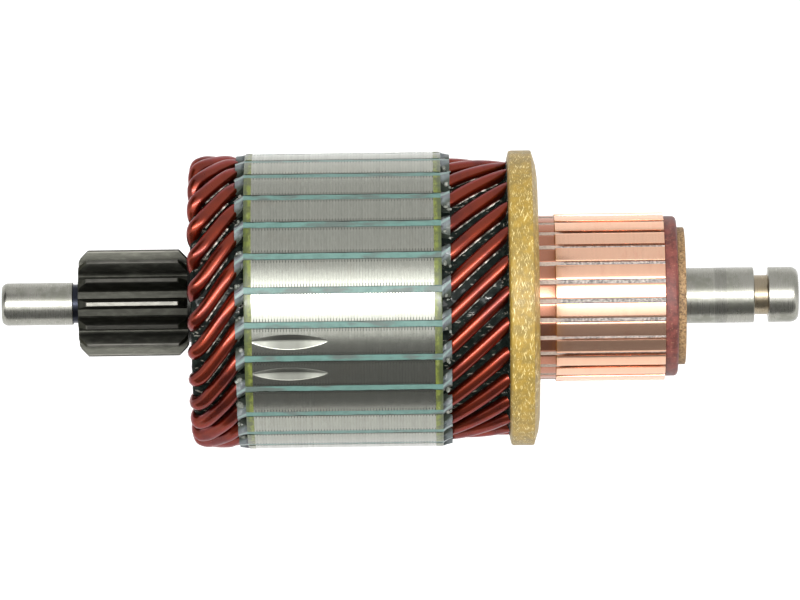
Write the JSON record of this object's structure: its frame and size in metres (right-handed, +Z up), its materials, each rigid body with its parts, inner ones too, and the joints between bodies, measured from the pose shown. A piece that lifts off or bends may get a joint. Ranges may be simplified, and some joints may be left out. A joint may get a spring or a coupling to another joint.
{
  "type": "motor armature",
  "caption": "Wound motor armature: slotted steel core with round hairpin windings, copper commutator, resin banding ring and a shaft with an integral sun gear.",
  "frame": {"origin": "middle of the drive-end journal, on the shaft's axis", "axes": "+X along the shaft from the sun gear towards the commutator, +Z up, -Y towards the viewer"},
  "size_m": [0.1623, 0.0602, 0.0602],
  "materials": {
    "shaft_steel": "ground and polished journals, darker hobbed teeth",
    "lamination_steel": "turned edges of thin sheets, fine lines across the axis",
    "insulation_fibre": "yellow-green varnished fibre",
    "liner_paper": "blue-green varnished paper",
    "enamelled_wire": "copper under clear red-brown enamel, glossy",
    "commutator_copper": "bare turned copper",
    "mica": "pressed mica, pale, matt",
    "hub_resin": "moulded dark red-brown resin",
    "banding_resin": "wound glass fibre in clear ochre resin, glittering",
    "washer_fibre": "speckled tan pressed fibre"
  },
  "bodies": {
    "root": {"shaft": "shaft_steel", "core_stack": "lamination_steel", "drive_end_insulator": "insulation_fibre", "commutator_end_insulator": "insulation_fibre", "slot_liners": "liner_paper", "commutator_bars": "commutator_copper", "mica_segments": "mica", "commutator_hub": "hub_resin", "riser_band": "banding_resin", "end_washer": "washer_fibre", "hairpin_01": "enamelled_wire", "hairpin_02": "enamelled_wire", "hairpin_03": "enamelled_wire", "hairpin_04": "enamelled_wire", "hairpin_05": "enamelled_wire", "hairpin_06": "enamelled_wire", "hairpin_07": "enamelled_wire", "hairpin_08": "enamelled_wire", "hairpin_09": "enamelled_wire", "hairpin_10": "enamelled_wire", "hairpin_11": "enamelled_wire", "hairpin_12": "enamelled_wire", "hairpin_13": "enamelled_wire", "hairpin_14": "enamelled_wire", "hairpin_15": "enamelled_wire", "hairpin_16": "enamelled_wire", "hairpin_17": "enamelled_wire", "hairpin_18": "enamelled_wire", "hairpin_19": "enamelled_wire", "hairpin_20": "enamelled_wire", "hairpin_21": "enamelled_wire", "hairpin_22": "enamelled_wire", "hairpin_23": "enamelled_wire", "hairpin_24": "enamelled_wire", "hairpin_25": "enamelled_wire", "hairpin_26": "enamelled_wire", "hairpin_27": "enamelled_wire"}
  },
  "joints": []
}
